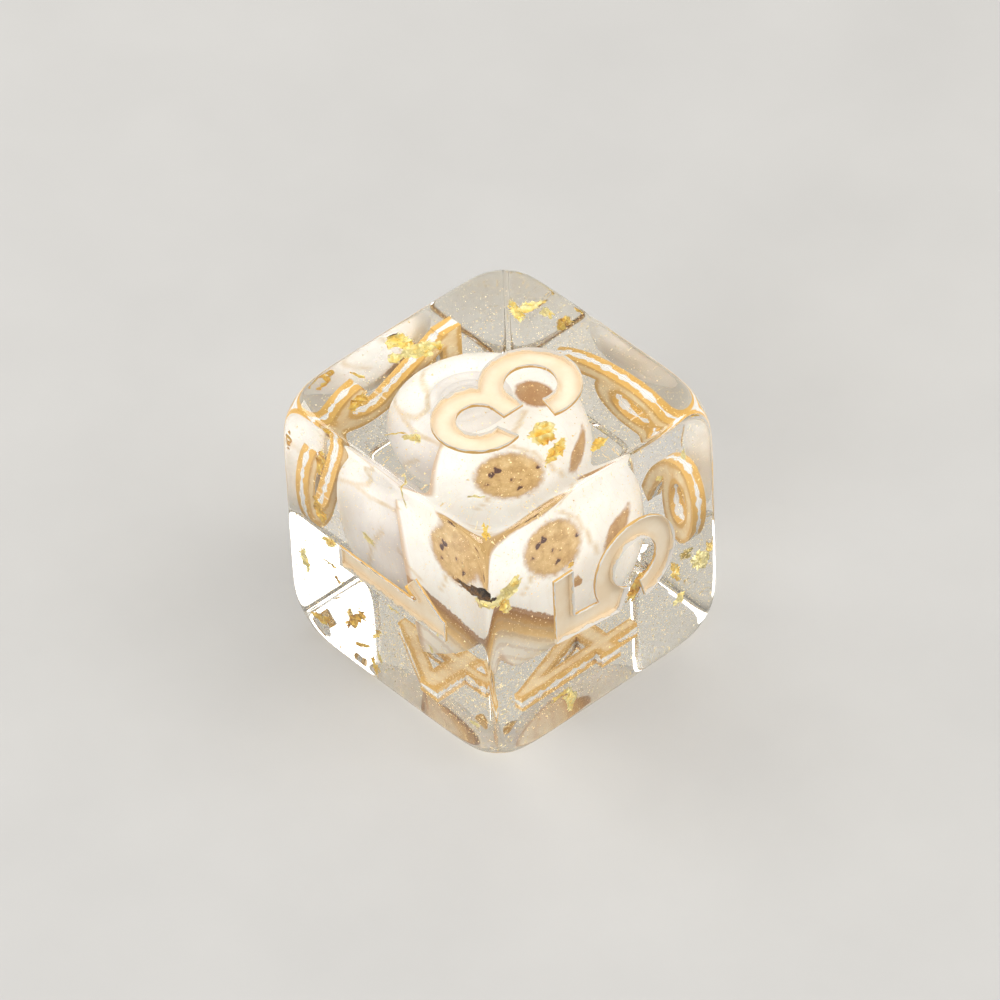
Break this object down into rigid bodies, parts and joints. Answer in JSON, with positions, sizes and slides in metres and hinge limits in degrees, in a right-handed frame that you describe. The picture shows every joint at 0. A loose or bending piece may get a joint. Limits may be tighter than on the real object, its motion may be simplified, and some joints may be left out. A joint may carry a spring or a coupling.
{
  "type": "six-sided resin die",
  "caption": "Clear cast-resin six-sided die with rounded corners, recessed painted numerals, and a sea-snail shell and scraps of gold leaf sealed inside.",
  "frame": {"origin": "centre of the die", "axes": "+Z out of the face with the 3, -Y out of the face with the 1, +X out of the face with the 5; the die rests on the 4"},
  "size_m": [0.016, 0.016, 0.016],
  "materials": {
    "resin": "polished",
    "shell": "gloss",
    "numeral_paint": "satin",
    "gold_leaf": "gloss"
  },
  "bodies": {
    "root": {"gold_leaf_01": "gold_leaf", "gold_leaf_02": "gold_leaf", "gold_leaf_03": "gold_leaf", "gold_leaf_04": "gold_leaf", "gold_leaf_05": "gold_leaf", "gold_leaf_06": "gold_leaf", "gold_leaf_07": "gold_leaf", "gold_leaf_08": "gold_leaf", "gold_leaf_09": "gold_leaf", "gold_leaf_10": "gold_leaf", "gold_leaf_11": "gold_leaf", "gold_leaf_12": "gold_leaf", "gold_leaf_13": "gold_leaf", "gold_leaf_14": "gold_leaf", "gold_leaf_15": "gold_leaf", "gold_leaf_16": "gold_leaf", "gold_leaf_17": "gold_leaf", "gold_leaf_18": "gold_leaf", "gold_leaf_19": "gold_leaf", "gold_leaf_20": "gold_leaf", "gold_leaf_21": "gold_leaf", "gold_leaf_22": "gold_leaf", "gold_leaf_23": "gold_leaf", "gold_leaf_24": "gold_leaf", "gold_leaf_25": "gold_leaf", "gold_leaf_26": "gold_leaf", "gold_leaf_27": "gold_leaf", "gold_leaf_28": "gold_leaf", "gold_leaf_29": "gold_leaf", "gold_leaf_30": "gold_leaf", "gold_leaf_31": "gold_leaf", "gold_leaf_32": "gold_leaf", "gold_leaf_33": "gold_leaf", "gold_leaf_34": "gold_leaf", "gold_leaf_35": "gold_leaf", "gold_leaf_36": "gold_leaf", "gold_leaf_37": "gold_leaf", "gold_leaf_38": "gold_leaf", "gold_leaf_39": "gold_leaf", "gold_leaf_40": "gold_leaf", "gold_leaf_41": "gold_leaf", "numeral_1_paint": "numeral_paint", "numeral_2_paint": "numeral_paint", "numeral_3_paint": "numeral_paint", "numeral_4_paint": "numeral_paint", "numeral_5_paint": "numeral_paint", "numeral_6_paint": "numeral_paint", "resin_first_pour": "resin", "resin_main_pour": "resin", "sea_snail_shell": "shell"}
  },
  "joints": []
}
